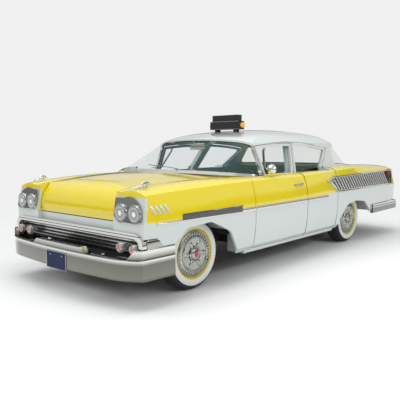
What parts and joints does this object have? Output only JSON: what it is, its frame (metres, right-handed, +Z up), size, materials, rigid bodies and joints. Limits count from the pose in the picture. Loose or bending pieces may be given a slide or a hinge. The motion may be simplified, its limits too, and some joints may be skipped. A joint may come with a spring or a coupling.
{
  "type": "four-door sedan taxi",
  "caption": "Full-size late-1950s four-door sedan taxi in yellow and white, with opening doors, hood and trunk lid, steered front wheels, rolling wheels and a blank roof sign.",
  "frame": {"origin": "on the ground, in the middle of the car's length and width", "axes": "+X points forward, +Y to the car's left, +Z up"},
  "size_m": [5.311, 1.9772, 1.6299],
  "materials": {
    "paint_yellow": "gloss enamel",
    "paint_white": "gloss enamel",
    "chrome": "polished plate",
    "brushed": "brushed",
    "grille_black": "satin black",
    "glass": "clear",
    "lamp_glass": "clear lens",
    "lamp_orange": "orange lens",
    "lamp_red": "red lens",
    "lamp_amber": "amber lens",
    "tyre": "moulded",
    "wheel_chrome": "polished plate",
    "chassis_black": "satin black",
    "floor_paint": "primer and mat",
    "iron": "as cast, painted",
    "exhaust_steel": "dull",
    "seat_cloth": "grained vinyl",
    "dash_pale": "satin",
    "wheel_plastic": "moulded",
    "sign_black": "gloss"
  },
  "bodies": {
    "car": {"chassis_frame": "chassis_black", "cowl": "paint_yellow", "dashboard": "dash_pale", "driveline": "chassis_black", "engine": "iron", "exhaust": "exhaust_steel", "floor_pan": "floor_paint", "front_bumper": "chrome", "front_fenders": "paint_yellow", "front_seat": "seat_cloth", "front_suspension": "chassis_black", "fuel_tank": "chassis_black", "grille": "grille_black", "grille_surround": "chrome", "headlamp_bezels": "brushed", "headlamps": "lamp_glass", "louvres": "chrome", "nose_panel": "paint_white", "parking_lamps": "lamp_orange", "quarter_panels": "paint_yellow", "rear_axle": "chassis_black", "rear_bumper": "chrome", "rear_seat": "seat_cloth", "rear_shelf": "paint_yellow", "rear_window": "glass", "roof": "paint_white", "roof_sign": "sign_black", "side_frames": "paint_white", "sign_lamps": "lamp_amber", "steering_wheel": "wheel_plastic", "tail_lamps": "lamp_red", "tail_panel": "paint_white", "windshield": "glass", "windshield_frame": "chrome"},
    "wheel_front_left_body": {"tyre_front_left": "tyre", "wheel_front_left": "wheel_chrome"},
    "door_front_left_body": {"door_front_left": "paint_yellow", "door_glass_front_left": "glass", "door_mirror": "chrome"},
    "wheel_front_right_body": {"tyre_front_right": "tyre", "wheel_front_right": "wheel_chrome"},
    "door_front_right_body": {"door_front_right": "paint_yellow", "door_glass_front_right": "glass"},
    "wheel_rear_left_body": {"tyre_rear_left": "tyre", "wheel_rear_left": "wheel_chrome"},
    "door_rear_left_body": {"door_rear_left": "paint_yellow", "door_glass_rear_left": "glass", "louvre_door_left": "chrome"},
    "wheel_rear_right_body": {"tyre_rear_right": "tyre", "wheel_rear_right": "wheel_chrome"},
    "door_rear_right_body": {"door_rear_right": "paint_yellow", "door_glass_rear_right": "glass", "louvre_door_right": "chrome"},
    "steer_left": {"knuckle_left": "chassis_black"},
    "steer_right": {"knuckle_right": "chassis_black"},
    "hood_body": {"hood": "paint_yellow"},
    "lid_body": {"trunk_lid": "paint_yellow"}
  },
  "joints": [
    {"name": "steer_left", "type": "hinge", "parent": "car", "child": "steer_left", "pos_m": [1.7955, 0.63, 0.325], "axis": [0, 0, 1], "range_deg": [-30, 30]},
    {"name": "roll_front_left", "type": "hinge", "parent": "steer_left", "child": "wheel_front_left_body", "pos_m": [1.7955, 0.747, 0.325], "axis": [0, 1, 0], "continuous": true},
    {"name": "roll_rear_left", "type": "hinge", "parent": "car", "child": "wheel_rear_left_body", "pos_m": [-1.1885, 0.747, 0.325], "axis": [0, 1, 0], "continuous": true},
    {"name": "door_front_left_hinge", "type": "hinge", "parent": "car", "child": "door_front_left_body", "pos_m": [1.0835, 0.987, 0.6], "axis": [0, 0, -1], "range_deg": [0, 68]},
    {"name": "door_rear_left_hinge", "type": "hinge", "parent": "car", "child": "door_rear_left_body", "pos_m": [0.1065, 0.987, 0.6], "axis": [0, 0, -1], "range_deg": [0, 68]},
    {"name": "steer_right", "type": "hinge", "parent": "car", "child": "steer_right", "pos_m": [1.7955, -0.63, 0.325], "axis": [0, 0, 1], "range_deg": [-30, 30]},
    {"name": "roll_front_right", "type": "hinge", "parent": "steer_right", "child": "wheel_front_right_body", "pos_m": [1.7955, -0.747, 0.325], "axis": [0, 1, 0], "continuous": true},
    {"name": "roll_rear_right", "type": "hinge", "parent": "car", "child": "wheel_rear_right_body", "pos_m": [-1.1885, -0.747, 0.325], "axis": [0, 1, 0], "continuous": true},
    {"name": "door_front_right_hinge", "type": "hinge", "parent": "car", "child": "door_front_right_body", "pos_m": [1.0835, -0.987, 0.6], "axis": [0, 0, 1], "range_deg": [0, 68]},
    {"name": "door_rear_right_hinge", "type": "hinge", "parent": "car", "child": "door_rear_right_body", "pos_m": [0.1065, -0.987, 0.6], "axis": [0, 0, 1], "range_deg": [0, 68]},
    {"name": "hood_hinge", "type": "hinge", "parent": "car", "child": "hood_body", "pos_m": [1.6455, 0, 1.035], "axis": [0, -1, 0], "range_deg": [0, 50]},
    {"name": "lid_hinge", "type": "hinge", "parent": "car", "child": "lid_body", "pos_m": [-1.6285, 0, 1.02], "axis": [0, 1, 0], "range_deg": [0, 60]}
  ],
  "couplings": [
    {"joint": "steer_right", "follows": "steer_left", "ratio": 1}
  ]
}
